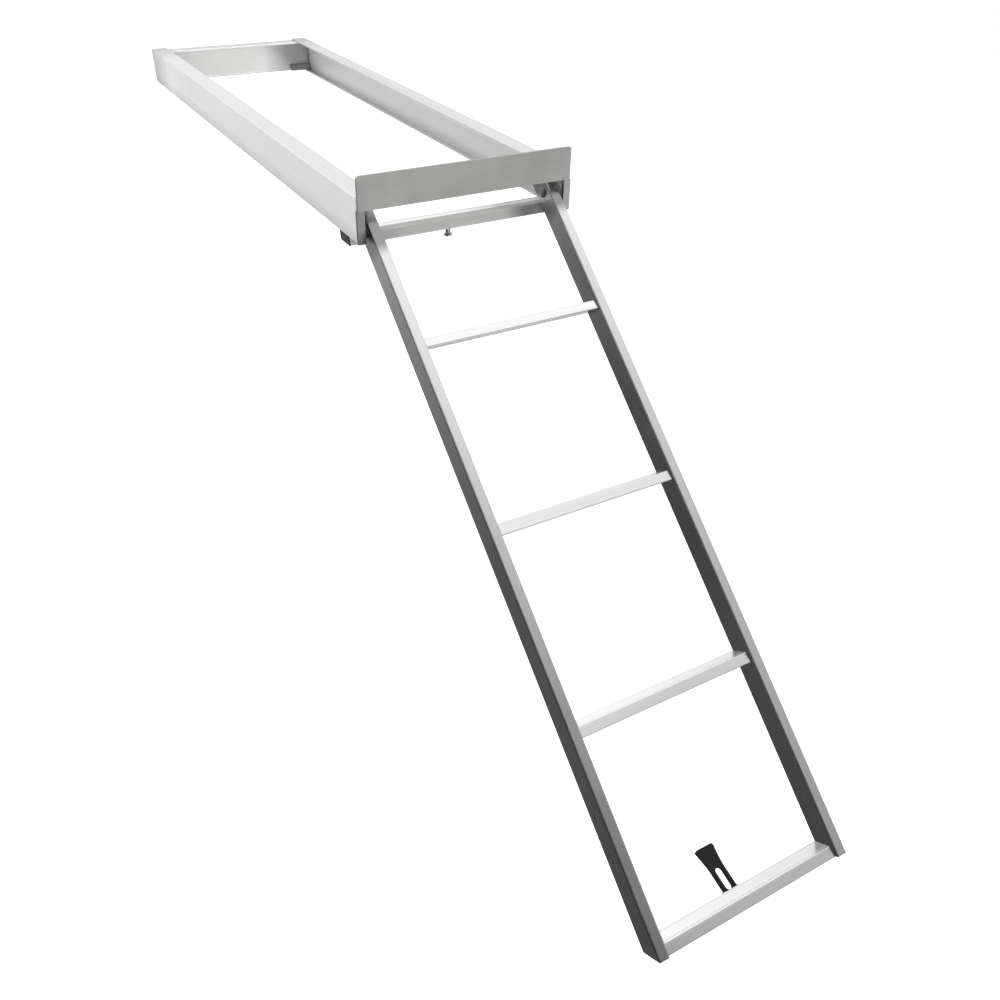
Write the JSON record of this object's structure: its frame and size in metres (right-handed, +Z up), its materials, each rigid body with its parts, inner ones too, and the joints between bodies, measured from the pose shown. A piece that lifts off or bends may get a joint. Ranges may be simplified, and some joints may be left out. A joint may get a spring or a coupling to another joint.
{
  "type": "pontoon boat ladder",
  "caption": "Under-deck slide-out boarding ladder: tube rails with hollow steps on rollers in a side-channel frame, with front plate, crossbar, catch stud and rubber latch.",
  "frame": {"origin": "on the back face of the front plate, midway across, level with the tops of the channels (the underside of the deck)", "axes": "+X to the right seen from the water, +Y back under the deck along the channels, +Z up"},
  "size_m": [0.381, 2.0723, 0.8309],
  "materials": {
    "anodised": "satin anodised",
    "brushed_plate": "brushed along its length",
    "stainless": "plain",
    "nylon": "moulded",
    "black_plastic": "moulded",
    "black_rubber": "moulded"
  },
  "bodies": {
    "frame": {"left_channel": "anodised", "right_channel": "anodised", "rear_crossmember": "anodised", "front_plate": "brushed_plate", "left_end_post": "brushed_plate", "right_end_post": "brushed_plate", "front_crossbar": "anodised", "left_crossbar_cap": "black_plastic", "right_crossbar_cap": "black_plastic", "catch_stud": "stainless", "left_rear_stop": "black_rubber", "right_rear_stop": "black_rubber"},
    "carriage": {"left_roller": "nylon", "left_spacer": "nylon", "left_lock_nut": "stainless", "left_pivot_washer": "stainless", "left_pivot_bolt": "stainless", "right_roller": "nylon", "right_spacer": "nylon", "right_lock_nut": "stainless", "right_pivot_washer": "stainless", "right_pivot_bolt": "stainless"},
    "ladder": {"left_rail": "anodised", "right_rail": "anodised", "left_rail_plug": "black_plastic", "right_rail_plug": "black_plastic", "step_1": "anodised", "step_2": "anodised", "step_3": "anodised", "step_4": "anodised", "latch_bracket": "stainless", "latch_pin": "stainless"},
    "latch": {"latch_strap": "black_rubber"}
  },
  "joints": [
    {"name": "run_in", "type": "slide", "parent": "frame", "child": "carriage", "axis": [0, 1, 0], "range_m": [0, 1.125]},
    {"name": "swing_up", "type": "hinge", "parent": "carriage", "child": "ladder", "pos_m": [0, 0.024, -0.04675], "axis": [-1, 0, 0], "range_deg": [-37, 40.4]},
    {"name": "latch_swing", "type": "hinge", "parent": "ladder", "child": "latch", "pos_m": [0, -0.81537, -0.79308], "axis": [-1, 0, 0], "range_deg": [-36, 60]}
  ]
}
